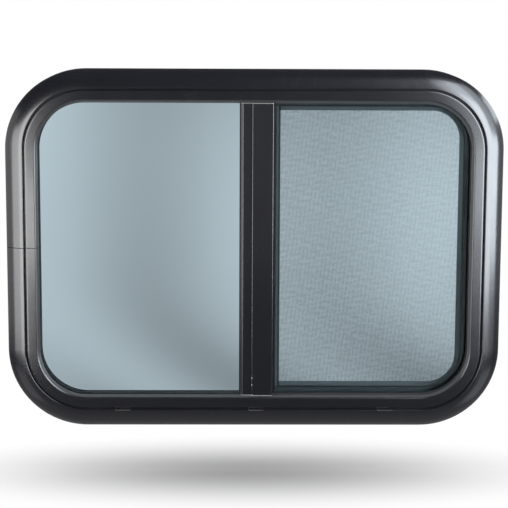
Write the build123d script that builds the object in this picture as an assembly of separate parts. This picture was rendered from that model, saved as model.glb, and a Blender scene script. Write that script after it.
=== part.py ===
from build123d import *
import math
import os

# Sliding caravan window, millimetres
# X to the right seen from outside, Y into the vehicle, Z up
# the wall's outer skin is the plane Y = 0 and the window's middle is the origin

# Wall that the window is made for
cutout_w = 700.0
cutout_h = 500.0
cutout_r = 101.0
wall_t = 30.0

# Outline of the frame, as its flange overlaps the cut-out
overlap = 16.0
frame_w = cutout_w + 2 * overlap
frame_h = cutout_h + 2 * overlap
frame_r = cutout_r + overlap
half_w = frame_w / 2
half_h = frame_h / 2

# Clearances
fit_gap = 2.0
rubber_gap = 0.3
edge_gap = 0.5
joint_gap = 1.0
lift_gap = 3.0

# Glass and the rubber that holds it
glass_t = 5.0
rubber_t = 1.5
felt_t = 1.0

# Frame section, u from the outer edge inwards, heights in front of the wall
wall = 2.0
bull_w = 26.4
bull_h = 15.0
bull_edge = 1.2
bull_tilt = 8.0
groove_w = 2.6
groove_floor = 9.0
land_h = 14.0
land_end = 43.2
land_tilt = 4.0
lip_u = 48.0
lip_h = 8.2
lip_back = 7.0
edge_break = 0.7
body_u = overlap + fit_gap
track_u = 34.0
divider = 2.0
screen_track = 7.5
screw_wall = 3.0

# Depths of the three tracks, outermost first
fixed_y0 = -lip_back
fixed_y1 = fixed_y0 + glass_t + 2 * rubber_t
sash_y0 = fixed_y1 + divider
sash_y1 = sash_y0 + glass_t + 2 * (felt_t + edge_gap)
screen_y0 = sash_y1 + divider
screen_y1 = screen_y0 + screen_track
body_y1 = screen_y1 + wall
open_h = half_h - lip_u

# Weep slots in the bottom groove
weep_x = (-196.0, 3.0, 196.0)
weep_len = 23.5
weep_w = 5.0

# Flange seal and clamp ring
seal_ceiling = 9.5
seal_foot = 4.0
clamp_t = 3.0
clamp_u = 45.5
clamp_leg = 2.5
clamp_break = 1.0
screw_hole = 4.2
screw_x = (70.0, 205.0)
screw_z = 95.0

# Butt joint of the frame, and the splice in the hollow chamber behind it
joint_z = 4.0
splice_len = 80.0
splice_t = 12.0

# Mullion, x from the window's middle
bar_x0 = -3.8
bar_x1 = 27.3
bar_y = -13.2
bar_round = 1.0
bead_w = 16.7
bead_y = -10.2
bead_flank = 3.4
bead_lip = 1.8
bar_reach = 0.6
bead_nose = 0.6

# Sash stile, latch and screen
stile_w = 30.4
stile_x0 = 0.0
stile_t = 1.2
stile_rib = 3.2
latch_w = 17.0
latch_h = 72.0
latch_t = 7.0
latch_round = 6.0
lever_w = 9.0
lever_h = 26.0
lever_out = 4.0
lever_gap = 0.5
lever_tip = 2.4
screen_u = 44.0
screen_face_u = 52.0
screen_in_u = 63.0
screen_r = 61.0
screen_x0 = 27.0
screen_face_x = 32.1
screen_open_x = 38.0
screen_rise = 3.5
screen_ridge = 3.0
screen_line = 2.4
screen_play = 0.6
screen_tongue = 4.0
mesh_t = 0.5
spline_w = 2.4
glide_x = (80.0, 215.0)
glide_len = 26.0
pull_h = 56.0
pull_t = 1.6
pull_out = 7.0


def slab(sketch, y0, y1):
    # a flat outline drawn on the window's face, from depth y0 to y1
    return extrude(Plane.XZ.offset(-y0) * sketch, amount=y0 - y1)


def post(sketch, z0, z1):
    # a section drawn in plan, from height z0 to z1
    return extrude(Plane.XY.offset(z0) * sketch, amount=z1 - z0)


def polygon(*points):
    return make_face(Polyline(*points, close=True))


def box_outline(x0, x1, z0, z1):
    return Pos((x0 + x1) / 2, (z0 + z1) / 2) * Rectangle(x1 - x0, z1 - z0)


def rounded_side(outline, side, radius):
    # rounds the two corners on one upright side, -1 left or 1 right
    corners = outline.vertices().group_by(Axis.X)[0 if side < 0 else -1]
    return fillet(corners, radius)


def ring_run():
    # the whole outline, from the butt joint at the left round to itself
    corners = [(-half_w, joint_z + joint_gap / 2), (-half_w, half_h), (half_w, half_h)]
    corners += [(half_w, -half_h), (-half_w, -half_h), (-half_w, joint_z - joint_gap / 2)]
    return Plane.XZ * FilletPolyline(*corners, radius=frame_r)


def half_run(x_end, side):
    # one half of the outline, between two ends at x_end
    corners = [(x_end, side * half_h), (side * half_w, side * half_h)]
    corners += [(side * half_w, -side * half_h), (x_end, -side * half_h)]
    return Plane.XZ * FilletPolyline(*corners, radius=frame_r)


def bend(section, run):
    # the section (u, y) carried round the outline
    start = run @ 0
    along = run % 0
    inward = Vector(0, 1, 0).cross(along)
    return sweep(Plane(start, x_dir=inward, z_dir=along) * section, path=run)


def near(face, *points):
    # the corners of a flat section that lie at these points
    return [face.vertices().sort_by_distance(p)[0] for p in points]


# Outer frame: one aluminium extrusion bent round and butted at the left
land_u = bull_w + groove_w
crown_u = bull_w - edge_break
bull_rise = bull_h - bull_edge
tilt = math.radians(bull_tilt)
bull_r = (crown_u**2 + bull_rise**2) / (2 * (bull_rise * math.cos(tilt) - crown_u * math.sin(tilt)))
bull_centre_u = crown_u + bull_r * math.sin(tilt)
bull_centre = bull_h - bull_r * math.cos(tilt)


def under_bull(height):
    # u of the flange skin's inside at a height
    return bull_centre_u - ((bull_r - wall) ** 2 - (height - bull_centre) ** 2) ** 0.5


land_edge = land_h - (land_end - land_u - edge_break) * math.tan(math.radians(land_tilt))
chamber_u0 = body_u + wall
chamber_u1 = track_u - wall
chamber_y = wall - groove_floor
screw_u = (chamber_u0 + chamber_u1) / 2
skin_in = under_bull(bull_edge)
ceiling_u = under_bull(seal_ceiling)
slope = (-math.cos(tilt), math.sin(tilt))
outside = TangentArc((crown_u, -bull_h), (0, -bull_edge), tangent=slope)
front = Polyline(
    (crown_u, -bull_h),
    (bull_w, edge_break - bull_h),
    (bull_w, -groove_floor),
    (land_u, -groove_floor),
    (land_u, edge_break - land_edge),
    (land_u + edge_break, -land_edge),
    (land_end, -land_h),
    (lip_u, -lip_h),
    (lip_u, -lip_back),
    (lip_u - wall, -lip_back),
    (land_end - wall / 2, wall - land_h),
    (track_u, wall - land_h),
    (track_u, fixed_y1),
    (lip_u, fixed_y1),
    (lip_u, sash_y0),
    (track_u, sash_y0),
    (track_u, sash_y1),
    (lip_u, sash_y1),
    (lip_u, screen_y0),
    (track_u, screen_y0),
    (track_u, screen_y1),
    (lip_u, screen_y1),
    (lip_u, body_y1),
    (body_u, body_y1),
    (body_u, -seal_ceiling),
    (ceiling_u, -seal_ceiling),
    (skin_in, -bull_edge),
    (skin_in, 0),
    (0, 0),
    (0, -bull_edge),
)
chamber = box_outline(chamber_u0, chamber_u1, chamber_y, body_y1 - screw_wall)
outer_frame = bend(make_face([*outside.edges(), *front.edges()]) - chamber, ring_run())
groove_mid = half_h - bull_w - groove_w / 2
for x in weep_x:
    slot = Pos(x, -groove_mid) * SlotOverall(weep_len, weep_w)
    outer_frame -= slab(slot, -bull_h - edge_gap, chamber_y + edge_gap)

# Flange seal: foam rubber strip in the hollow behind the flange
seal_u1 = body_u - rubber_gap
seal_slope = (ceiling_u - skin_in) / (seal_ceiling - bull_edge)
seal_side = 2 * rubber_gap
seal_u0 = skin_in + seal_slope * (seal_foot - bull_edge) + seal_side
seal_section = polygon(
    (seal_u1, 0),
    (seal_u1, -seal_ceiling),
    (ceiling_u + seal_side, -seal_ceiling),
    (seal_u0, -seal_foot),
    (seal_u0, 0),
)
flange_seal = bend(seal_section, ring_run())

# Clamp ring: inner trim that pulls the frame against the wall
clamp_section = polygon(
    (0, wall_t),
    (clamp_u - clamp_leg, wall_t),
    (clamp_u - clamp_leg, body_y1),
    (clamp_u, body_y1),
    (clamp_u, wall_t + clamp_t - clamp_break),
    (clamp_u - clamp_break, wall_t + clamp_t),
    (clamp_break, wall_t + clamp_t),
    (0, wall_t + clamp_t - clamp_break),
)
clamp_ring = bend(clamp_section, ring_run())
screw_row = half_h - screw_u
screw_spots = [(a * x, b * screw_row) for x in screw_x for a in (-1, 1) for b in (-1, 1)]
screw_spots += [(a * (half_w - screw_u), b * screw_z) for a in (-1, 1) for b in (-1, 1)]
for x, z in screw_spots:
    mouth = Location((x, wall_t, z), (90, 0, 0))
    clamp_ring -= mouth * Cylinder(screw_hole / 2, 4 * clamp_t)

# Splice: bar in the hollow chamber that joins the frame's two ends
splice_x0 = chamber_u0 - half_w
splice_x1 = chamber_u1 - half_w
splice_z0 = joint_z - splice_len / 2
splice_outline = box_outline(splice_x0, splice_x1, splice_z0, splice_z0 + splice_len)
frame_splice = slab(splice_outline, chamber_y, chamber_y + splice_t)

# Mullion: upright extrusion, its ends coped over the frame's lip
bar_skin = polygon(
    (bar_x0, bar_y),
    (bar_x1, bar_y),
    (bar_x1, sash_y0 - edge_gap),
    (bar_x1 - 2 * wall, sash_y0 - edge_gap),
    (bar_x1 - 2 * wall, sash_y0 - edge_gap - wall),
    (bar_x1 - wall, sash_y0 - edge_gap - wall),
    (bar_x1 - wall, bar_y + wall),
    (bar_x0 + wall, bar_y + wall),
    (bar_x0 + wall, sash_y0 - edge_gap),
    (bar_x0 - bead_w, sash_y0 - edge_gap),
    (bar_x0 - bead_w, fixed_y1),
    (bar_x0, fixed_y1),
)
bar_skin = fillet(near(bar_skin, (bar_x0, bar_y), (bar_x1, bar_y)), bar_round)
reach_y = -lip_h - (land_h - lip_h) * bar_reach / (lip_u - land_end)
cope = polygon(
    (-lip_h, open_h),
    (reach_y, open_h + bar_reach),
    (-land_h - wall, open_h + bar_reach),
    (-land_h - wall, half_h),
    (wall_t, half_h),
    (wall_t, open_h),
)
cope_cut = extrude(Plane.YZ.offset(-half_w) * cope, amount=frame_w)
mullion = post(bar_skin, -half_h + wall, half_h - wall) - cope_cut - mirror(cope_cut, Plane.XY)

# Glazing bead: strip that holds the fixed pane to the mullion
bead_section = polygon(
    (bar_x0, bead_y),
    (bar_x0 - bead_w + bead_flank, bead_y),
    (bar_x0 - bead_w, fixed_y0 - bead_nose),
    (bar_x0 - bead_w, fixed_y0),
    (bar_x0, fixed_y0),
)
bead_section = fillet(near(bead_section, (bar_x0 - bead_w + bead_flank, bead_y)), bar_round)
glazing_bead = post(bead_section, -half_h + wall, half_h - wall)
glazing_bead = glazing_bead - cope_cut - mirror(cope_cut, Plane.XY)

# Fixed pane and its rubber
pane_u = track_u + rubber_t + edge_gap
fixed_x1 = bar_x0 - rubber_t - edge_gap
fixed_y = fixed_y0 + rubber_t
fixed_outline = box_outline(pane_u - half_w, fixed_x1, pane_u - half_h, half_h - pane_u)
fixed_glass = slab(rounded_side(fixed_outline, -1, frame_r - pane_u), fixed_y, fixed_y + glass_t)
gasket_lip = lip_u
gasket_section = polygon(
    (track_u + rubber_gap, fixed_y0),
    (gasket_lip, fixed_y0),
    (gasket_lip, fixed_y),
    (pane_u - edge_gap, fixed_y),
    (pane_u - edge_gap, fixed_y + glass_t),
    (gasket_lip, fixed_y + glass_t),
    (gasket_lip, fixed_y1),
    (track_u + rubber_gap, fixed_y1),
)
rubber_edge = bar_x0 - bead_w - bead_lip
fixed_gasket = bend(gasket_section, half_run(rubber_edge, -1))
bead_rubber_section = polygon(
    (bar_x0, fixed_y0),
    (rubber_edge, fixed_y0),
    (rubber_edge, fixed_y),
    (fixed_x1 + edge_gap, fixed_y),
    (fixed_x1 + edge_gap, fixed_y + glass_t),
    (rubber_edge, fixed_y + glass_t),
    (rubber_edge, fixed_y1),
    (bar_x0, fixed_y1),
)
bead_rubber = post(bead_rubber_section, -open_h, open_h)

# Sliding pane in its felt run channel
sash_y = sash_y0 + felt_t + edge_gap
sash_u = track_u + felt_t
sash_x0 = stile_x0 + stile_t + edge_gap
sash_outline = box_outline(sash_x0, half_w - sash_u - edge_gap, sash_u - half_h, half_h - sash_u - lift_gap)
sash_glass = slab(rounded_side(sash_outline, 1, frame_r - sash_u + lift_gap), sash_y, sash_y + glass_t)
run_section = polygon(
    (track_u, sash_y0),
    (lip_u, sash_y0),
    (lip_u, sash_y0 + felt_t),
    (sash_u, sash_y0 + felt_t),
    (sash_u, sash_y1 - felt_t),
    (lip_u, sash_y1 - felt_t),
    (lip_u, sash_y1),
    (track_u, sash_y1),
)
sash_run = bend(run_section, half_run(-half_w + frame_r, 1))

# Sash stile: channel along the sliding pane's free edge, with a pull rib
stile_x1 = stile_x0 + stile_w
stile_y0 = sash_y - stile_t
stile_y1 = sash_y + glass_t
stile_back = stile_y1 + stile_t
stile_section = polygon(
    (stile_x0, stile_y0),
    (stile_x1, stile_y0),
    (stile_x1, sash_y),
    (stile_x0 + stile_t, sash_y),
    (stile_x0 + stile_t, stile_y1),
    (stile_x1, stile_y1),
    (stile_x1, stile_y1 + stile_rib),
    (stile_x1 - 2 * stile_t, stile_y1 + stile_rib),
    (stile_x1 - 2 * stile_t, stile_back),
    (stile_x0, stile_back),
)
stile_h = open_h - edge_gap
sash_stile = post(stile_section, -stile_h, stile_h)

# Latch on the stile: rounded body with a thumb lever in its recess
latch_x = (stile_x0 + stile_x1 - 2 * stile_t) / 2
latch_face = Pos(latch_x, 0) * RectangleRounded(latch_w, latch_h, latch_round)
latch_body = slab(latch_face, stile_back, stile_back + latch_t)
latch_body = chamfer(latch_body.edges().group_by(Axis.Y)[-1], clamp_break)
recess_w = lever_w + 2 * lever_gap
recess_floor = stile_back + wall
recess = Pos(latch_x, 0) * SlotOverall(latch_h - 2 * latch_round, recess_w, rotation=90)
latch_body -= slab(recess, recess_floor, stile_back + latch_t)
lever_top = stile_back + latch_t + lever_out
lever_section = polygon(
    (recess_floor, -lever_h / 2),
    (stile_back + latch_t, -lever_h / 2),
    (lever_top, -lever_tip / 2),
    (lever_top, lever_tip / 2),
    (stile_back + latch_t, lever_h / 2),
    (recess_floor, lever_h / 2),
)
latch_lever = extrude(Plane.YZ.offset(latch_x - lever_w / 2) * lever_section, amount=lever_w)

# Pile strip between mullion and stile
pile_x1 = bar_x1 - 2 * wall
pile_section = box_outline(pile_x1 - 2 * wall, pile_x1, sash_y0 - edge_gap - wall, stile_y0)
interlock_pile = post(pile_section, -stile_h, stile_h)

# Insect screen: frame, spline and mesh
face_y0 = screen_y0 + screen_play
face_y1 = screen_y1 - screen_play
tongue_y0 = (face_y0 + face_y1 - screen_tongue) / 2


def screen_outline(u, x0):
    # the screen reaches further up into the deep top channel, as it is lifted out that way
    flat = box_outline(x0, half_w - u, u - half_h, half_h - u + screen_rise)
    return rounded_side(flat, 1, screen_r - (u - screen_u))


screen_hole = screen_outline(screen_in_u, screen_open_x)
screen_frame = slab(screen_outline(screen_face_u, screen_face_x) - screen_hole, face_y0, face_y1)
tongue = screen_outline(screen_u, screen_x0) - screen_hole
screen_frame += slab(tongue, tongue_y0, tongue_y0 + screen_tongue)
line_in = screen_ridge + screen_line
front_line = screen_outline(screen_face_u + screen_ridge, screen_face_x + screen_ridge)
front_line -= screen_outline(screen_face_u + line_in, screen_open_x + edge_gap)
screen_frame -= slab(front_line, face_y0, face_y0 + screen_line)
spline_u0 = screen_in_u - 2 * spline_w
spline_x0 = screen_open_x - 2 * spline_w
spline_ring = screen_outline(spline_u0, spline_x0)
spline_ring -= screen_outline(spline_u0 + spline_w, spline_x0 + spline_w)
screen_frame -= slab(spline_ring, face_y1 - spline_w, face_y1)
screen_spline = slab(spline_ring, face_y1 - spline_w, face_y1)
mesh_outline = screen_outline(spline_u0 + spline_w, spline_x0 + spline_w)
screen_mesh = slab(mesh_outline, face_y1, face_y1 + mesh_t)

# Screen glides: shoes that carry the screen in its track
glide_bed = track_u - half_h
glide_y = tongue_y0 + screen_tongue / 2
glide_cheek = (screen_track - 2 * screen_play) / 2
glide_section = polygon(
    (glide_y - glide_cheek, glide_bed + edge_gap),
    (glide_y - glide_cheek, screen_u - half_h),
    (glide_y + glide_cheek, screen_u - half_h),
    (glide_y + glide_cheek, glide_bed + edge_gap),
    (glide_y + glide_cheek - edge_gap, glide_bed),
    (glide_y - glide_cheek + edge_gap, glide_bed),
)
screen_glides = Part() + [
    extrude(Plane.YZ.offset(x - glide_len / 2) * glide_section, amount=glide_len) for x in glide_x
]

# Screen pull: angled tab on the screen's free bar
pull_y = tongue_y0 + screen_tongue
pull_section = polygon(
    (screen_x0, pull_y),
    (screen_face_x - edge_gap, pull_y),
    (screen_face_x - edge_gap, pull_y + pull_t),
    (screen_x0 + pull_t, pull_y + pull_t),
    (screen_x0 + pull_t, pull_y + pull_out),
    (screen_x0, pull_y + pull_out),
)
screen_pull = post(pull_section, -pull_h / 2, pull_h / 2)

pieces = {
    "outer_frame": outer_frame,
    "flange_seal": flange_seal,
    "clamp_ring": clamp_ring,
    "frame_splice": frame_splice,
    "mullion": mullion,
    "glazing_bead": glazing_bead,
    "fixed_glass": fixed_glass,
    "fixed_gasket": fixed_gasket,
    "bead_rubber": bead_rubber,
    "sash_glass": sash_glass,
    "sash_run": sash_run,
    "sash_stile": sash_stile,
    "interlock_pile": interlock_pile,
    "latch_body": latch_body,
    "latch_lever": latch_lever,
    "screen_frame": screen_frame,
    "screen_spline": screen_spline,
    "screen_mesh": screen_mesh,
    "screen_glides": screen_glides,
    "screen_pull": screen_pull,
}
os.makedirs("parts", exist_ok=True)
for name, piece in pieces.items():
    export_step(piece, f"parts/{name}.step")
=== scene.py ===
from math import asin, cos, hypot, pi, radians, sin, tan

import bmesh
import bpy
from mathutils import Matrix, Vector


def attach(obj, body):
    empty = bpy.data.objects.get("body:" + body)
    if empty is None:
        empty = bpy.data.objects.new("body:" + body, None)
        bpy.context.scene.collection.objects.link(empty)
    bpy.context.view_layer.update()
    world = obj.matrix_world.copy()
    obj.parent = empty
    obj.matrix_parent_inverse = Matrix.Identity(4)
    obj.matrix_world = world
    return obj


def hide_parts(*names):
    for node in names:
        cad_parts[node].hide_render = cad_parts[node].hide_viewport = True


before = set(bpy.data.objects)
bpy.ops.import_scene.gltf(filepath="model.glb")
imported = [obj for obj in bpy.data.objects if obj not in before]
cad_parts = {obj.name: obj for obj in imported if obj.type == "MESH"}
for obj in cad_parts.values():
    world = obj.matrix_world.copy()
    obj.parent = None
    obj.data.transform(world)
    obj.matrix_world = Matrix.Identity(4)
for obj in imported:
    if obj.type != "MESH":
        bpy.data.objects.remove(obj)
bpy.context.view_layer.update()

# Outer frame: one aluminium extrusion with a bullnose flange, a drip groove, a land and a sloping lip, bent
# round to a rounded rectangle and butted at the middle of the left side. It is coated satin black, and three
# slots milled through the groove at the bottom drain the tracks.
half_w = 0.366
half_h = 0.266
corner_r = 0.117
butt_z = 0.004
butt_gap = 0.001
bull_w = 0.0264
bull_h = 0.015
bull_back = 0.0143
bull_edge = 0.0012
crown_u = 0.0257
crown_tilt = radians(8)
groove_floor = 0.009
land_u = 0.029
land_h = 0.014
land_end = 0.0432
lip_u = 0.048
lip_h = 0.0082
lip_back = 0.007
wall = 0.002
track_u = 0.034
track_legs = (0.001, 0.011, 0.0205)
back_y = track_legs[-1] + wall
chamber_u = 0.018
seal_u = 0.0135
seal_y = 0.0095
foot_u = 0.0027
weep_x = (-0.196, 0.003, 0.196)
weep_z = -0.2383
weep_len = 0.0235
weep_w = 0.005
weep_deep = 0.0154
weep_round = 0.499 * weep_w
bull_rise = bull_h - bull_edge
bull_r = (crown_u**2 + bull_rise**2) / (2 * (bull_rise * cos(crown_tilt) - crown_u * sin(crown_tilt)))
bull_arc = 2 * asin(hypot(crown_u, bull_rise) / (2 * bull_r))
bull_middle = (crown_u + bull_r * sin(crown_tilt) - half_w, bull_r * cos(crown_tilt) - bull_h, butt_z)
frame_section = [
    (bull_w, -bull_back),
    (bull_w, -groove_floor),
    (land_u, -groove_floor),
    (land_u, -0.0122),
    (0.0293, -0.0126),
    (0.0300, -0.0130),
    (0.0313, -0.01321),
    (land_end, -land_h),
    (0.0450, -0.0129),
    (0.0464, -0.0111),
    (lip_u, -lip_h),
    (lip_u, -lip_back),
    (lip_u - wall, -lip_back),
    (land_end - wall / 2, wall - land_h),
    (track_u, wall - land_h),
]
leg_corners = []
for leg_y in track_legs:
    leg_back = leg_y + wall
    frame_section += [(track_u, leg_y), (lip_u, leg_y), (lip_u, leg_back), (track_u, leg_back)]
    leg_corners += [(lip_u, leg_y), (lip_u, leg_back)]
frame_section[-1] = (chamber_u, back_y)
frame_section += [
    (chamber_u, -seal_y),
    (seal_u, -seal_y),
    (foot_u, -bull_edge),
    (foot_u, 0),
    (0, 0),
    (crown_u, -bull_h),
]
frame_rounds = {
    0.0006: [(land_end, -land_h)],
    0.0004: [(bull_w, -bull_back), (crown_u, -bull_h)],
    0.0005: [(lip_u, -lip_h), (lip_u, back_y), (chamber_u, back_y)],
    0.0003: leg_corners[:-1],
}
weld = 1e-6
nose_steps = 18
round_steps = 3
bend_steps = 24
sharp_from = radians(32)


def only(kind, geom):
    return [g for g in geom if isinstance(g, kind)]


def drawn_section(section, rounds, nose=None):
    # a section (u inwards from the outline, y) as a flat face at the butt joint, with its corners rounded
    bm = bmesh.new()
    points = [bm.verts.new((u - half_w, y, butt_z + butt_gap / 2)) for u, y in section]
    last = points[-1]
    if nose:
        middle, arc = nose
        swung = bmesh.ops.spin(bm, geom=[last], cent=middle, axis=(0, 0, 1), angle=-arc, steps=nose_steps)
        points[-1] = swung["geom_last"][0]
    for a, b in zip([last] + points[:-1], points):
        bm.edges.new((a, b))
    bmesh.ops.contextual_create(bm, geom=bm.edges[:])
    bmesh.ops.remove_doubles(bm, verts=bm.verts[:], dist=weld)
    for radius, spots in rounds.items():
        for u, y in spots:
            corner = min(bm.verts, key=lambda v: hypot(v.co.x + half_w - u, v.co.y - y))
            bmesh.ops.bevel(
                bm,
                geom=[corner],
                offset=radius,
                affect="VERTICES",
                segments=round_steps,
                profile=0.5,
                material=-1,
            )
    return bm


def bent_ring(bm):
    # a drawn section carried round the outline, from the butt joint back to it
    bmesh.ops.delete(bm, geom=bm.faces[:], context="FACES_ONLY")
    start = bm.edges[:]
    end = bm.verts[:] + bm.edges[:]
    side_x = half_w - corner_r
    side_z = half_h - corner_r
    runs = [
        ((0, 0, side_z - butt_z - butt_gap / 2), (-side_x, 0, side_z)),
        ((2 * side_x, 0, 0), (side_x, 0, side_z)),
        ((0, 0, -2 * side_z), (side_x, 0, -side_z)),
        ((-2 * side_x, 0, 0), (-side_x, 0, -side_z)),
        ((0, 0, side_z + butt_z - butt_gap / 2), None),
    ]
    for way, bend in runs:
        drawn = bmesh.ops.extrude_edge_only(bm, edges=only(bmesh.types.BMEdge, end))["geom"]
        end = only((bmesh.types.BMVert, bmesh.types.BMEdge), drawn)
        bmesh.ops.translate(bm, verts=only(bmesh.types.BMVert, end), vec=way)
        if bend:
            turned = bmesh.ops.spin(bm, geom=end, cent=bend, axis=(0, 1, 0), angle=pi / 2, steps=bend_steps)
            end = turned["geom_last"]
    bmesh.ops.contextual_create(bm, geom=start)
    bmesh.ops.contextual_create(bm, geom=only(bmesh.types.BMEdge, end))
    bmesh.ops.remove_doubles(bm, verts=bm.verts[:], dist=weld)
    bmesh.ops.recalc_face_normals(bm, faces=bm.faces[:])
    return bm


def as_mesh(name, bm):
    mesh = bpy.data.meshes.new(name)
    bm.to_mesh(mesh)
    bm.free()
    return mesh


def cut(bm, tool, skin, inside):
    # the shape with another cut out of it, whose cut faces have the second material
    body = bpy.data.objects.new("body", as_mesh("body", bm))
    cutter = bpy.data.objects.new("cutter", as_mesh("cutter", tool))
    for thing, finish in ((body, skin), (cutter, inside)):
        thing.data.materials.append(finish.material)
        bpy.context.scene.collection.objects.link(thing)
    less = body.modifiers.new("less", "BOOLEAN")
    less.operation = "DIFFERENCE"
    less.solver = "EXACT"
    less.material_mode = "TRANSFER"
    less.object = cutter
    left = bmesh.new()
    left.from_object(body, bpy.context.evaluated_depsgraph_get())
    for thing in (body, cutter):
        mesh = thing.data
        bpy.data.objects.remove(thing)
        bpy.data.meshes.remove(mesh)
    return left


def piece(name, bm, finishes, slot, *stands_for):
    mesh = as_mesh(name, bm)
    mesh.polygons.foreach_set("use_smooth", [True] * len(mesh.polygons))
    mesh.set_sharp_from_angle(angle=sharp_from)
    for finish in finishes:
        mesh.materials.append(finish.material)
    made = bpy.data.objects.new(name, mesh)
    bpy.context.scene.collection.objects.link(made)
    flats = made.modifiers.new("flats", "WEIGHTED_NORMAL")
    flats.keep_sharp = True
    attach(made, "root")
    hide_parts(*stands_for)


class Wire:
    # one output in a node tree: sums on it add Math nodes, and node() adds any other kind
    def __init__(self, tree, socket=None):
        self.tree = tree
        self.socket = socket

    def node(self, kind, settings=(), sockets=(), out=0):
        made = self.tree.nodes.new("ShaderNode" + kind)
        for name, value in dict(settings).items():
            setattr(made, name, value)
        for name, value in dict(sockets).items():
            if isinstance(value, Wire):
                self.tree.links.new(value.socket, made.inputs[name])
            else:
                made.inputs[name].default_value = value
        return Wire(self.tree, made.outputs[out])

    def maths(self, operation, first, second=0.0):
        return self.node("Math", {"operation": operation}, {0: first, 1: second})

    def __add__(self, other):
        return self.maths("ADD", self, other)

    def __radd__(self, other):
        return self.maths("ADD", other, self)

    def __sub__(self, other):
        return self.maths("SUBTRACT", self, other)

    def __rsub__(self, other):
        return self.maths("SUBTRACT", other, self)

    def __mul__(self, other):
        return self.maths("MULTIPLY", self, other)

    def __rmul__(self, other):
        return self.maths("MULTIPLY", other, self)

    def __truediv__(self, other):
        return self.maths("DIVIDE", self, other)


class Finish:
    # a material with one Principled shader, whose sockets take numbers, colours or wires
    def __init__(self, name, **constants):
        self.material = bpy.data.materials.new(name)
        self.material.use_nodes = True
        self.tree = Wire(self.material.node_tree)
        self.shader = self.material.node_tree.nodes["Principled BSDF"]
        self.place = self.tree.node("TexCoord", out="Object")
        for name, value in constants.items():
            self.socket(name).default_value = value

    def socket(self, name):
        return self.shader.inputs[name.replace("_", " ").title().replace("Ior", "IOR")]

    def feed(self, **wires):
        for name, wire in wires.items():
            self.tree.tree.links.new(wire.socket, self.socket(name))

    def along(self, axis):
        return self.tree.node("SeparateXYZ", {}, {0: self.place}, out=axis)

    def noise(self, scale, detail=2.0, rough=0.5, stretch=(1, 1, 1)):
        spot = self.tree.node("Mapping", {}, {"Vector": self.place, "Scale": stretch})
        sockets = {"Vector": spot, "Scale": scale, "Detail": detail, "Roughness": rough}
        return self.tree.node("TexNoise", {}, sockets)

    def between(self, value, low, high):
        return self.tree.node("MapRange", {}, {"Value": value, "From Min": low, "From Max": high})

    def blend(self, factor, dark, light):
        # each colour is a wire or three numbers
        dark, light = [c if isinstance(c, Wire) else (*c, 1) for c in (dark, light)]
        return self.tree.node("Mix", {"data_type": "RGBA"}, {0: factor, 6: dark, 7: light}, out=2)

    def bump(self, height, depth, strength=1.0, under=None):
        sockets = {"Strength": strength, "Distance": depth, "Height": height}
        if under:
            sockets["Normal"] = under
        return self.tree.node("Bump", {}, sockets)

    def put_on(self, *nodes):
        for name in nodes:
            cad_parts[name].material_slots[0].material = self.material


def satin_coat(name):
    coat = Finish(name, specular_ior_level=1.0, coat_roughness=0.16, coat_ior=1.6)
    grain = coat.noise(1500, 3)
    rubbed = coat.between(coat.noise(22, 5, 0.62), 0.3, 0.75)
    waves = coat.bump(coat.noise(34, 1), 0.00006, 0.5)
    coat.tone = coat.blend(0.5 * grain + 0.5 * rubbed, (0.0050, 0.0054, 0.0108), (0.0083, 0.0088, 0.0148))
    coat.dull = 0.22 + 0.03 * rubbed + 0.05 * grain
    coat.feed(
        base_color=coat.tone,
        roughness=coat.dull,
        coat_weight=0.9 - 0.12 * rubbed,
        normal=coat.bump(grain, 0.000012, 0.35, waves),
    )
    return coat


coat = satin_coat("satin_black_coat")
# painted light: a lighter grey for the lip and the legs in the bottom track
painted_light_grey = Finish("painted_light_grey_lip_and_track", specular_ior_level=1.0)
light_mottle = painted_light_grey.noise(300, 4, 0.6)
painted_light_grey.feed(
    base_color=painted_light_grey.blend(light_mottle, (0.058, 0.061, 0.065), (0.082, 0.086, 0.091)),
    roughness=0.24 + 0.12 * light_mottle,
)
# bare aluminium on the weep slots' cut faces, and painted light on the tips of the bottom track's middle leg
bare_and_lit_aluminium = Finish("bare_and_painted_light_aluminium", specular_ior_level=0.4)
scale = bare_and_lit_aluminium.noise(700, 3, 0.6)
bare_and_lit_aluminium.feed(
    base_color=bare_and_lit_aluminium.blend(scale, (0.12, 0.122, 0.125), (0.19, 0.192, 0.196)),
    roughness=0.5 + 0.2 * scale,
)
slots = bmesh.new()
slot_size = Matrix.Diagonal((weep_len, weep_deep, weep_w, 1))
for x in weep_x:
    place = Matrix.Translation((x, -weep_deep / 2, weep_z)) @ slot_size
    box = bmesh.ops.create_cube(slots, size=1, matrix=place)["verts"]
    edges = [e for e in slots.edges if e.verts[0] in box]
    ends = [e for e in edges if abs((e.verts[0].co - e.verts[1].co).y) > weep_deep / 2]
    bmesh.ops.bevel(
        slots, geom=ends, offset=weep_round, affect="EDGES", segments=8, profile=0.5, material=-1
    )
ring = bent_ring(drawn_section(frame_section, frame_rounds, (bull_middle, bull_arc)))
frame_body = cut(ring, slots, coat, bare_and_lit_aluminium)
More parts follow.
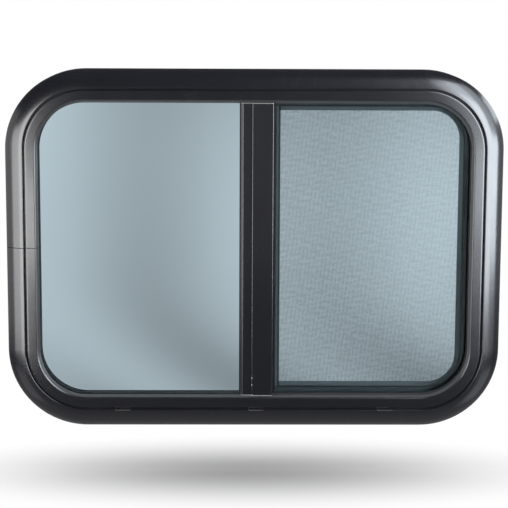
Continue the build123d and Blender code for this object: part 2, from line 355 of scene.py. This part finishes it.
# painted light: the lip and the legs in the bottom track are painted a lighter grey, and the tips of the
# middle leg a lighter aluminium, standing for light that falls on them
sill_z = -0.19
lip_light_u = 0.0436
lip_light_u_at_sill = 0.0448
lip_light_y = (-0.0138, -0.0069)
track_light_u = 0.0400
track_light_y = (0.0005, 0.0135)
leg_light_u = 0.0470
leg_light_y = (0.0105, 0.0135)
for face in frame_body.faces:
    x, y, z = face.calc_center_median()
    past_x = abs(x) - half_w + corner_r
    past_z = abs(z) - half_h + corner_r
    inwards = corner_r - hypot(max(past_x, 0), max(past_z, 0)) - min(max(past_x, past_z), 0)
    at_sill = z < sill_z
    if at_sill and inwards > leg_light_u and leg_light_y[0] < y < leg_light_y[1]:
        face.material_index = 1
    elif at_sill and inwards > track_light_u and track_light_y[0] < y < track_light_y[1]:
        face.material_index = 2
    elif inwards > (lip_light_u_at_sill if at_sill else lip_light_u) and lip_light_y[0] < y < lip_light_y[1]:
        face.material_index = 2
piece("bent_frame", frame_body, (coat, bare_and_lit_aluminium, painted_light_grey), "frame_black", "outer_frame")

# Joint sealant: a thin fill of black sealant between the two sawn ends of the frame, wiped back a little
# below the surface. It keeps water out of the butt joint.
wiped_back = 0.0004
sealant = Finish("black_sealant", specular_ior_level=0.3)
smear = sealant.noise(500, 3, 0.6)
sealant.feed(
    base_color=sealant.blend(smear, (0.006, 0.006, 0.0065), (0.013, 0.013, 0.014)),
    roughness=0.5 + 0.2 * smear,
)
fill = drawn_section(frame_section, {}, (bull_middle, bull_arc))
rim = bmesh.ops.inset_region(
    fill, faces=fill.faces[:], thickness=wiped_back, use_even_offset=True, use_boundary=True
)
bmesh.ops.delete(fill, geom=rim["faces"], context="FACES")
pulled = bmesh.ops.extrude_face_region(fill, geom=fill.faces[:])["geom"]
bmesh.ops.translate(fill, verts=only(bmesh.types.BMVert, pulled), vec=(0, 0, -butt_gap))
bmesh.ops.recalc_face_normals(fill, faces=fill.faces[:])
piece("joint_sealant", fill, (sealant,), "glazing_rubber")

# Flange seal: a strip of closed-cell foam rubber, cut to length and laid in the hollow behind the flange. It
# is pressed flat against the vehicle's wall when the clamp ring is screwed up.
foam = Finish("closed_cell_foam", roughness=0.85, specular_ior_level=0.2)
cells = foam.tree.node("TexVoronoi", {}, {"Vector": foam.place, "Scale": 1400.0})
foam.feed(
    base_color=foam.blend(cells, (0.03, 0.03, 0.032), (0.012, 0.012, 0.013)),
    normal=foam.bump(cells, 0.00012, 0.7),
)
foam.put_on("flange_seal")

# Splice: a plain bar of mill-finish aluminium, sawn to length. It is pushed half its length into each end of
# the frame's hollow chamber and holds the butt joint in line.
bare = Finish("bare_aluminium", metallic=1.0)
milled = bare.noise(900, 3, 0.6, (1, 1, 0.02))
bare.feed(
    base_color=bare.blend(milled, (0.52, 0.53, 0.54), (0.66, 0.67, 0.68)),
    roughness=0.28 + 0.2 * milled,
    normal=bare.bump(milled, 0.00002, 0.5),
)
bare.put_on("frame_splice")

# Mullion and glazing bead: two upright extrusions in the frame's coat, with a painted highlight along their
# sawn ends and three small chips near the foot. The mullion is coped over the lip at both ends, and the bead
# is pressed onto its left side over the edge of the fixed pane.
nicks = ((-0.0038, -0.0128, -0.1915), (-0.0038, -0.0128, -0.2020), (-0.0034, -0.0128, -0.2176))
nick_r = 0.0014
nick_fade_r = 0.0022
nick_ragged = 0.0012
end_highlight_z = (0.2172, 0.2180)
chipped_and_highlit = satin_coat("chipped_and_highlit_black_coat")
chips_and_end_highlight = 0.0
for nick in nicks:
    sockets = {0: chipped_and_highlit.place, 1: nick}
    apart = chipped_and_highlit.tree.node("VectorMath", {"operation": "DISTANCE"}, sockets, out="Value")
    chips_and_end_highlight = chips_and_end_highlight + chipped_and_highlit.between(apart + nick_ragged * chipped_and_highlit.noise(900, 2), nick_fade_r, nick_r)
off_middle = chipped_and_highlit.tree.maths("ABSOLUTE", chipped_and_highlit.along("Z"))
# painted highlight along the sawn ends
end_highlight = chipped_and_highlit.between(off_middle, *end_highlight_z) * (0.4 + 0.6 * chipped_and_highlit.noise(400, 2))
chips_and_end_highlight = chipped_and_highlit.tree.maths("MINIMUM", chips_and_end_highlight + end_highlight, 1.0)
chipped_and_highlit.feed(
    base_color=chipped_and_highlit.blend(chips_and_end_highlight, chipped_and_highlit.tone, (0.62, 0.62, 0.63)),
    roughness=chipped_and_highlit.dull + 0.2 * chips_and_end_highlight,
)
chipped_and_highlit.put_on("mullion", "glazing_bead")

# Panes: two sheets of 5 mm toughened float glass, tinted grey in the melt. The left one is glazed into the
# outermost track, and the right one slides in the middle track.
glass = Finish("grey_tinted_glass", roughness=0.0, ior=1.5, transmission_weight=1.0)
cast = glass.noise(5, 1)
glass.feed(
    base_color=glass.blend(cast, (0.476, 0.588, 0.645), (0.488, 0.598, 0.655)),
    normal=glass.bump(glass.noise(9, 0), 0.00002, 0.4),
)
glass.put_on("fixed_glass", "sash_glass")

# Glazing rubber: extruded black rubber with a faint bloom. A channel of it is pushed onto the edge of the
# fixed pane, a strip lies under the bead, and a square cord of it is the spline that holds the insect mesh.
rubber = Finish("glazing_rubber", specular_ior_level=0.35)
bloom = rubber.noise(260, 4, 0.6)
rubber.feed(
    base_color=rubber.blend(bloom, (0.006, 0.006, 0.007), (0.018, 0.018, 0.019)),
    roughness=0.45 + 0.2 * bloom,
    normal=rubber.bump(rubber.noise(3000, 2), 0.00001, 0.4),
)
rubber.put_on("fixed_gasket", "bead_rubber", "screen_spline")

# Run channel: an extruded rubber channel flocked with short fibres and pressed into the middle track. The
# sliding pane runs in it, and it is painted lighter along the bottom as painted light.
sill_light_z = (-0.195, -0.212)
sill_light_ragged = 0.01
flock = Finish("black_flock", roughness=0.95, specular_ior_level=0.1, sheen_weight=0.05, sheen_roughness=0.5)
fibres = flock.noise(5200, 2, 0.7)
# painted light: the flock is lighter along the bottom
sill_light = flock.between(flock.along("Z") + sill_light_ragged * flock.noise(60, 3), *sill_light_z)
flock.feed(
    base_color=flock.blend(0.25 * fibres + 0.6 * sill_light, (0.006, 0.006, 0.0065), (0.2, 0.195, 0.185)),
    normal=flock.bump(fibres, 0.00015, 0.8),
)
flock.put_on("sash_run")

# Sash stile: folded channel along the free edge of the sliding pane, in the frame's coat, with a strip of
# woven pile between it and the mullion.
coat.put_on("sash_stile")
pile = Finish("grey_pile", roughness=0.95, specular_ior_level=0.1, sheen_weight=0.4, sheen_roughness=0.4)
tufts = pile.noise(2600, 2, 0.6, (1, 0.15, 1))
pile.feed(
    base_color=pile.blend(tufts, (0.02, 0.02, 0.021), (0.09, 0.09, 0.092)),
    normal=pile.bump(tufts, 0.0002, 0.8),
)
pile.put_on("interlock_pile")

# Latch, screen pull and glides: moulded black nylon with a fine spark-eroded grain. The latch sits on the
# stile's inner face, the pull on the screen's free bar, and the glides carry the screen in its track.
nylon = Finish("grained_nylon", specular_ior_level=0.45)
sparks = nylon.noise(2200, 3, 0.6)
nylon.feed(
    base_color=nylon.blend(sparks, (0.018, 0.018, 0.019), (0.032, 0.032, 0.033)),
    roughness=0.42 + 0.16 * sparks,
    normal=nylon.bump(sparks, 0.00004, 0.6),
)
nylon.put_on("latch_body", "latch_lever", "screen_pull", "screen_glides")

# Screen frame: roll-formed aluminium with a grey face. Its outer edge, which runs in the track, is painted
# dark as shade, and lighter on the top and bottom bars as painted light, most at the foot. Its groove and
# its lower right are painted darker as shade. Its two right corners are bent to the window's own curve.
screen_rise = 0.0035
face_u = (0.0555, 0.0575)
groove_front = (0.0140, 0.0150)
groove_back = (0.0175, 0.0168)
foot_light_z = (-0.2135, -0.2155)
bar_z = (0.12, 0.18)
low_right_shade_x = (0.24, 0.29)
low_right_shade_z = (0.08, -0.06)
grey = Finish("grey_aluminium", specular_ior_level=0.15)
lines = grey.noise(1200, 2, 0.6, (1, 1, 0.04))
x, y, z = [grey.along(axis) for axis in "XYZ"]
off_middle = grey.tree.maths("ABSOLUTE", z - screen_rise / 2)
past_x = x - (half_w - corner_r)
past_z = off_middle - (half_h + screen_rise / 2 - corner_r)
reach_x = grey.tree.maths("MAXIMUM", past_x, 0.0)
reach_z = grey.tree.maths("MAXIMUM", past_z, 0.0)
bend = grey.tree.maths("SQRT", reach_x * reach_x + reach_z * reach_z)
inwards = corner_r - bend - grey.tree.maths("MINIMUM", grey.tree.maths("MAXIMUM", past_x, past_z), 0.0)
# painted light on the outer edge of the top and bottom bars, most at the foot; painted shade on the outer
# edge
foot_light = grey.between(z, *foot_light_z)
# painted shade in the groove away from the foot, and at the lower right
groove_shade = grey.between(y, *groove_front) * grey.between(y, *groove_back) * (1.0 - foot_light)
low_right_shade = grey.between(x, *low_right_shade_x) * grey.between(z, *low_right_shade_z)
outer_edge_light = (0.42 + 0.45 * foot_light) * grey.between(off_middle, *bar_z)
pale = grey.tree.maths("MAXIMUM", grey.between(inwards, *face_u), outer_edge_light)
pale = pale * (1.0 - 0.75 * groove_shade) * (1.0 - 0.55 * low_right_shade) * (0.85 + 0.15 * lines)
grey.feed(
    base_color=grey.blend(pale, (0.012, 0.012, 0.0125), (0.46, 0.44, 0.42)),
    roughness=0.36 + 0.12 * lines,
    normal=grey.bump(lines, 0.00001, 0.4),
)
grey.put_on("screen_frame")

# Insect mesh: fine coated glass-fibre threads bonded where they cross, held in the screen frame by the
# spline. Threads are at their real pitch, with the upright ones in front, and their outer side carries a
# painted glint, lighter and darker in dashes and rippled bands.
thread = 0.00021
pitch_x = 0.00119
pitch_z = 0.00134
mesh_x0 = 0.0356
mesh_x1 = 0.3054
mesh_z = 0.20715
mesh_r = 0.0444
mesh_up = screen_rise / 2
mesh_y = 0.02015
stray = 0.00004
stray_upright = 7.3
stray_level = 5.9
weft_step = 0.00594
warp_step = 0.01188
bias_step = 0.00792
lean_step = 0.0475
fibre = Finish("light_grey_thread", specular_ior_level=0.3)
worn = fibre.noise(120, 3)
# painted glint: the outer side of the threads is lighter or darker in dashes and rippled bands
glint_dash = fibre.between(fibre.noise(240, 1, 0.5, (1.0, 1.0, 1.2)), 0.38, 0.62)
x, y, z = [fibre.along(axis) for axis in "XYZ"]
round_thread = fibre.tree.maths("SINE", (y - mesh_y + 0.5 * thread) * (2 * pi / thread))
outside = fibre.between(round_thread, 0.3, -0.3)
glint_weft = fibre.tree.maths("COSINE", x * (2 * pi / weft_step) - z * (2 * pi / lean_step))
glint_warp = fibre.tree.maths("COSINE", x * (2 * pi / lean_step) + z * (2 * pi / warp_step))
glint_bias = fibre.tree.maths("COSINE", x * (2 * pi / lean_step) - z * (2 * pi / bias_step))
glint = 0.3 + 0.1 * worn + outside * (glint_dash - 0.33 + 0.42 * glint_weft + 0.23 * glint_warp + 0.27 * glint_bias)
fibre.feed(
    base_color=fibre.blend(glint, (0.03, 0.03, 0.03), (0.99, 0.955, 0.94)),
    roughness=0.5 + 0.15 * worn,
)
weave = bmesh.new()


def lay(middle, length, turn):
    placed = Matrix.Translation(middle) @ turn
    radius = thread / 2
    bmesh.ops.create_cone(
        weave, segments=6, cap_ends=True, radius1=radius, radius2=radius, depth=length, matrix=placed
    )


for i in range(1, int((mesh_x1 - mesh_x0) / pitch_x)):
    x = mesh_x0 + i * pitch_x + stray * sin(stray_upright * i * i)
    past = max(0.0, x - (mesh_x1 - mesh_r))
    reach = mesh_z - mesh_r + (mesh_r**2 - past**2) ** 0.5
    lay((x, mesh_y - 0.5 * thread, mesh_up), 2 * reach, Matrix.Identity(4))
for i in range(1, int(2 * mesh_z / pitch_z)):
    z = -mesh_z + i * pitch_z + stray * sin(stray_level * i * i)
    past = max(0.0, abs(z) - (mesh_z - mesh_r))
    right = mesh_x1 - mesh_r + (mesh_r**2 - past**2) ** 0.5
    middle = ((mesh_x0 + right) / 2, mesh_y + 0.5 * thread, z + mesh_up)
    lay(middle, right - mesh_x0, Matrix.Rotation(pi / 2, 4, "Y"))
piece("insect_mesh", weave, (fibre,), "mesh_grey", "screen_mesh")

# Clamp ring: a second bent extrusion on the inside of the wall, in the frame's coat. It is countersunk for
# twelve screws that draw it and the outer frame together.
clamp_u = 0.0455
clamp_y = 0.030
clamp_back = 0.033
clamp_leg = 0.0025
row_z = 0.240
row_x = (0.070, 0.205)
flank_x = 0.340
flank_z = 0.095
hole_r = 0.0021
hole_y = 0.0310
hole_deep = 0.006
sink_r = 0.0042
sink_y = 0.0319
sink_deep = 0.0024
round_sides = 32
clamp_section = [
    (0, clamp_y),
    (clamp_u - clamp_leg, clamp_y),
    (clamp_u - clamp_leg, back_y),
    (clamp_u, back_y),
    (clamp_u, clamp_back),
    (0, clamp_back),
]
clamp_rounds = {
    0.001: [(clamp_u, clamp_back), (0, clamp_back)],
    0.0004: [(0, clamp_y), (clamp_u, back_y)],
}
screw_spots = [(a * x, b * row_z) for x in row_x for a in (-1, 1) for b in (-1, 1)]
screw_spots += [(a * flank_x, b * flank_z) for a in (-1, 1) for b in (-1, 1)]
inward = Matrix.Rotation(-pi / 2, 4, "X")
clamp_body = bent_ring(drawn_section(clamp_section, clamp_rounds))
for middle_y, deep, mouth_r in ((hole_y, hole_deep, hole_r), (sink_y, sink_deep, sink_r)):
    drill = bmesh.new()
    for x, z in screw_spots:
        bmesh.ops.create_cone(
            drill,
            segments=round_sides,
            cap_ends=True,
            radius1=hole_r,
            radius2=mouth_r,
            depth=deep,
            matrix=Matrix.Translation((x, middle_y, z)) @ inward,
        )
    clamp_body = cut(clamp_body, drill, coat, bare)
piece("clamp_ring_bent", clamp_body, (coat, bare), "frame_black", "clamp_ring")

# Screws: twelve countersunk self-tapping screws of plain stainless steel, each with a pressed cross recess.
# They go through the clamp ring into the back of the frame's chamber, and their crosses stop at various
# angles.
neck_r = 0.0018
head_r = 0.0038
head_y = 0.0318
head_deep = 0.002
shank_len = 0.0086
cross_len = 0.0040
cross_w = 0.0010
cross_deep = 0.0026
cross_y = 0.0328
turn_per_metre = radians(31000)
steel = Finish("stainless_steel", metallic=1.0)
turned = steel.noise(1800, 2)
steel.feed(
    base_color=steel.blend(turned, (0.42, 0.42, 0.43), (0.58, 0.58, 0.59)),
    roughness=0.3 + 0.15 * turned,
)
screws = bmesh.new()
for x, z in screw_spots:
    head = bmesh.ops.create_cone(
        screws,
        segments=round_sides,
        cap_ends=True,
        radius1=neck_r,
        radius2=head_r,
        depth=head_deep,
        matrix=Matrix.Translation((x, head_y, z)) @ inward,
    )["verts"]
    neck = min((f for f in screws.faces if f.verts[0] in head), key=lambda f: f.calc_center_median().y)
    tip = bmesh.ops.extrude_discrete_faces(screws, faces=[neck])["faces"][0]
    bmesh.ops.translate(screws, verts=tip.verts, vec=(0, -shank_len, 0))
for bar in ((cross_len, cross_deep, cross_w, 1), (cross_w, cross_deep, cross_len, 1)):
    punch = bmesh.new()
    for x, z in screw_spots:
        spot = Matrix.Translation((x, cross_y, z)) @ Matrix.Rotation(turn_per_metre * x, 4, "Y")
        bmesh.ops.create_cube(punch, size=1, matrix=spot @ Matrix.Diagonal(bar))
    screws = cut(screws, punch, steel, steel)
piece("clamp_screws", screws, (steel,), "plain_aluminium")

# Floor: a grey floor a little below the window, which keeps the window's real soft shadow and adds a painted
# shadow, grey under the window and fading out in an ellipse. Further out it is as white as the background.
floor_z = -0.345
floor_size = (1.4, 1.2, 1, 1)
shadow_middle = (-0.01, 0.02, 0)
shadow_narrowing = (1.75, 4.6, 0)
sheet = bmesh.new()
laid = Matrix.Translation((0, 0, floor_z)) @ Matrix.Diagonal(floor_size)
bmesh.ops.create_grid(sheet, x_segments=1, y_segments=1, size=1.0, matrix=laid)
# painted shadow: grey under the window, fading out in an ellipse to white
paper = Finish("floor_with_painted_shadow", base_color=(0.43, 0.43, 0.43, 1), roughness=1.0, specular_ior_level=0.0)
under = paper.tree.node("VectorMath", {"operation": "SUBTRACT"}, {0: paper.place, 1: shadow_middle})
stretched = paper.tree.node("VectorMath", {"operation": "MULTIPLY"}, {0: under, 1: shadow_narrowing})
apart = paper.tree.node("VectorMath", {"operation": "LENGTH"}, {0: stretched}, out="Value")
fading = {"Value": apart, "From Min": 1.0, "From Max": 0.0}
shaded = paper.tree.node("MapRange", {"interpolation_type": "SMOOTHSTEP"}, fading)
white = paper.tree.node("Emission", {}, {"Color": (1, 1, 1, 1), "Strength": 1.0})
matt = Wire(paper.tree.tree, paper.shader.outputs[0])
mixed = paper.tree.node("MixShader", {}, {0: shaded, 1: white, 2: matt})
paper.tree.tree.links.new(mixed.socket, paper.material.node_tree.nodes["Material Output"].inputs[0])
floor_mesh = as_mesh("floor", sheet)
floor_mesh.materials.append(paper.material)
floor = bpy.data.objects.new("floor", floor_mesh)
bpy.context.scene.collection.objects.link(floor)
floor.visible_transmission = False
floor.visible_glossy = False

# Room: white where the camera sees past the window, and dim where the coat mirrors it. Through the glass it
# is a pale backdrop sheet with soft folds, lit unevenly.
backdrop_half_w = 0.16
backdrop_half_h = 0.1
backdrop_drop = 0.157
sag_from = -0.0123
fold_bend = 11.5
fold_at = 0.00786
fold_apart = 0.1169
world = bpy.data.worlds.new("studio")
bpy.context.scene.world = world
world.use_nodes = True
room = Wire(world.node_tree)
way = room.node("TexCoord", out="Generated")
aside, deep, high = [room.node("SeparateXYZ", {}, {0: way}, out=axis) for axis in "XYZ"]
ray_kinds = ("Camera", "Glossy", "Transmission")
camera_ray, glossy_ray, through = [room.node("LightPath", out=f"Is {kind} Ray") for kind in ray_kinds]
behind = room.node("MapRange", {}, {"Value": deep, "From Min": -0.1, "From Max": 0.6})
below = room.node("MapRange", {}, {"Value": high, "From Min": -0.3, "From Max": -0.9})
across = room.maths("MINIMUM", aside / deep, backdrop_half_w)
across = room.maths("MAXIMUM", across, -backdrop_half_w)
rise = room.maths("MINIMUM", high / deep + backdrop_drop, backdrop_half_h)
rise = room.maths("MAXIMUM", rise, -backdrop_half_h)
sag = room.maths("MAXIMUM", sag_from - rise, 0.0)
fold = room.maths("COSINE", (across - fold_bend * sag * sag - fold_at) * (2 * pi / fold_apart))
beside = room.node("MapRange", {}, {"Value": across, "From Min": 0.005, "From Max": 0.026})
slope = 0.7746 + across * (2.243 + 7.46 * rise + across * (14.47 - 81.6 * across + 38.9 * rise))
slope = slope + rise * (1.253 - rise * (17.63 + 71.3 * rise + 234.0 * across))
backdrop = (slope + fold * (0.0969 - 0.43 * rise + 0.0726 * across)) * (1.0 - 0.061 * beside)
glow = 0.55 * (1.0 - glossy_ray) + glossy_ray * (0.036 + 0.16 * below + 0.25 * behind)
seen = room.node("Mix", {"data_type": "FLOAT"}, {0: through, 2: glow, 3: backdrop})
level = room.maths("MAXIMUM", camera_ray, seen)
room.tree.links.new(level.socket, world.node_tree.nodes["Background"].inputs["Strength"])
world.node_tree.nodes["Background"].inputs["Color"].default_value = (1, 1, 1, 1)

# Lamps: soft boxes to the left, to the right and in front, which show only in highlights, and one large lamp
# above that makes the shadow.
right_stand = 0.35
left_stand = -0.35
front_stand = 0.04
daylight = (0.86, 0.925, 1.0)
white_light = (1, 1, 1)


def lamp(name, middle, aim, width, height, radiance, tint, **seen_by):
    light = bpy.data.lights.new(name, "AREA")
    light.shape = "RECTANGLE"
    light.size = width
    light.size_y = height
    light.energy = radiance * pi * width * height
    light.color = tint
    holder = bpy.data.objects.new(name, light)
    bpy.context.scene.collection.objects.link(holder)
    holder.location = middle
    holder.rotation_euler = (Vector(aim) - Vector(middle)).to_track_quat("-Z", "Y").to_euler()
    holder.visible_camera = False
    holder.visible_transmission = False
    for flag, value in seen_by.items():
        setattr(holder, flag, value)


def soft_box(name, stand, bearings, away, heights, radiance, tint):
    # seen from a stand on the window's plane between two bearings in degrees, at a distance, from one height
    # up to another
    middle = radians(sum(bearings) / 2)
    width = 2 * away * tan(radians(bearings[1] - bearings[0]) / 2)
    height = heights[1] - heights[0]
    z = sum(heights) / 2
    spot = (stand + away * sin(middle), -away * cos(middle), z)
    lamp(name, spot, (stand, 0, z), width, height, radiance, tint, visible_diffuse=False)


soft_box("right_flank", right_stand, (12, 22), 1.6, (-0.35, 1.6), 1.4, daylight)
soft_box("right_strip", right_stand, (12, 22), 1.5, (-0.16, 0.02), 2.9, daylight)
soft_box("right_upper", right_stand, (9, 22), 1.6, (0.32, 2.2), 1.8, daylight)
soft_box("right_front", right_stand, (22, 46), 1.6, (-0.37, 0.95), 7.2, daylight)
soft_box("right_front_upper", right_stand, (22, 46), 1.6, (0.95, 2.2), 4.2, daylight)
soft_box("right_wide", right_stand, (46, 72), 1.6, (-0.285, 0.3), 7.2, daylight)
soft_box("right_wide_upper", right_stand, (46, 72), 1.6, (0.3, 2.2), 2.0, daylight)
soft_box("right_side", right_stand, (72, 112), 1.4, (-0.3, 0.8), 0.35, daylight)
soft_box("right_back", right_stand, (78, 138), 1.3, (0.55, 1.2), 3.6, daylight)
soft_box("left_flank", left_stand, (-17, -9), 2.0, (-0.34, -0.11), 5.4, white_light)
soft_box("left_front", left_stand, (-36, -17), 2.0, (-0.62, 0.55), 4.6, white_light)
soft_box("left_middle", left_stand, (-66, -36), 1.7, (-0.52, 0.45), 2.8, white_light)
soft_box("left_side", left_stand, (-112, -66), 1.4, (-0.42, 0.8), 0.5, white_light)
soft_box("left_low", left_stand, (-80, -40), 1.6, (-2.0, -0.9), 0.3, white_light)
soft_box("right_low", right_stand, (40, 80), 1.6, (-2.0, -0.9), 0.5, daylight)
soft_box("front_fill", front_stand, (-5, 5), 1.6, (-0.3, 0.24), 0.12, white_light)
lamp("overhead", (0, 0, 1.5), (0, 0, 0), 2.4, 2.4, 2.2, white_light, visible_glossy=False)

# Camera: nearly square on to the window and a little above its middle, with a long lens. It is turned by a
# quarter of a degree about its line of sight.
roll = radians(0.26)
camera = bpy.data.cameras.new("camera")
camera.lens = 117.4
camera.sensor_width = 36
camera.shift_x = -0.0008
camera.shift_y = -0.0077
tripod = bpy.data.objects.new("camera", camera)
bpy.context.scene.collection.objects.link(tripod)
tripod.location = (-0.0351, -2.4259, 0.3813)
facing = (-tripod.location).to_track_quat("-Z", "Y").to_matrix().to_4x4()
tripod.rotation_euler = (facing @ Matrix.Rotation(roll, 4, "Z")).to_euler()
bpy.context.scene.camera = tripod
bpy.context.scene.view_settings.view_transform = "Standard"
